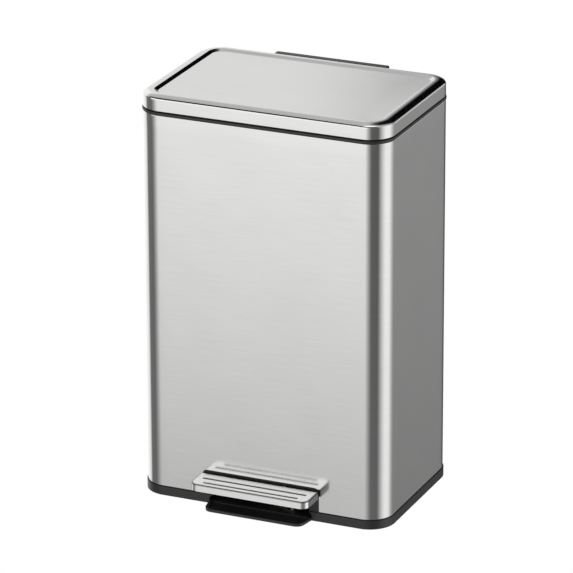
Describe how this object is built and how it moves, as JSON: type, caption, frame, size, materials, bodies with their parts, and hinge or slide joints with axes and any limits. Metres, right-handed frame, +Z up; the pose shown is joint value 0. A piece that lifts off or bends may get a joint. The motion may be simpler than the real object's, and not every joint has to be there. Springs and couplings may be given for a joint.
{
  "type": "pedal trash can",
  "caption": "Rectangular brushed steel step can with a hinged lid, a front pedal, a lever and push rod linkage and a lift-out inner bucket.",
  "frame": {"origin": "on the floor, under the middle of the whole footprint", "axes": "+Z up, -Y the pedal side, +X the user's right when facing the back of the can from the pedal"},
  "size_m": [0.408, 0.329, 0.643],
  "materials": {
    "brushed_steel": "fine horizontal brushing",
    "black_plastic": "moulded satin",
    "bucket_plastic": "moulded matte",
    "nylon": "moulded natural nylon",
    "rubber": "matte rubber",
    "zinc_steel": "zinc plated",
    "bright_steel": "nickel plated",
    "damper_body": "satin black paint"
  },
  "bodies": {
    "can": {"outer_shell": "brushed_steel", "top_collar": "black_plastic", "base_tray": "black_plastic", "pedal_bezel": "black_plastic", "base_feet": "rubber", "inner_bucket": "bucket_plastic", "pivot_bracket": "zinc_steel", "pivot_bracket_screws": "bright_steel", "lever_pivot_pin": "bright_steel", "lever_pivot_clip": "bright_steel", "rod_cover": "black_plastic", "lower_rod_guide": "nylon", "upper_rod_guide": "nylon", "damper_cylinder": "damper_body", "damper_clamps": "nylon", "hinge_housing": "black_plastic", "hinge_housing_screws": "bright_steel", "hinge_pin": "bright_steel", "hinge_pin_clips": "bright_steel"},
    "lid": {"lid_shell": "brushed_steel", "lid_liner": "black_plastic", "lid_bumpers": "rubber", "lid_hinge_cover": "black_plastic", "lid_hinge_bushes": "nylon", "lid_screws": "bright_steel", "lid_lever": "zinc_steel", "lid_lever_screws": "bright_steel", "lid_lever_pin": "bright_steel"},
    "pedal": {"pedal_tread": "brushed_steel", "pedal_core": "black_plastic", "pedal_bracket": "zinc_steel", "pedal_rivets": "bright_steel", "pedal_lever": "zinc_steel", "lever_bushes": "nylon", "lever_end_pin": "bright_steel", "lever_end_roller": "nylon"},
    "push_rod": {"push_rod": "zinc_steel", "rod_foot": "zinc_steel", "rod_head": "zinc_steel", "damper_rod": "zinc_steel", "damper_crosshead": "zinc_steel", "rod_nuts": "bright_steel"}
  },
  "joints": [
    {"name": "lid_hinge", "type": "hinge", "parent": "can", "child": "lid", "pos_m": [0, 0.1595, 0.618], "axis": [-1, 0, 0], "range_deg": [0, 80]},
    {"name": "pedal_hinge", "type": "hinge", "parent": "can", "child": "pedal", "pos_m": [0, -0.0395, 0.032], "axis": [1, 0, 0], "range_deg": [0, 12.35]},
    {"name": "rod_slide", "type": "slide", "parent": "can", "child": "push_rod", "axis": [0, 0, 1], "range_m": [0, 0.0374]}
  ],
  "couplings": [
    {"joint": "pedal_hinge", "follows": "lid_hinge", "ratio": 0.15427},
    {"joint": "rod_slide", "follows": "lid_hinge", "m_per_rad": 0.026714}
  ]
}
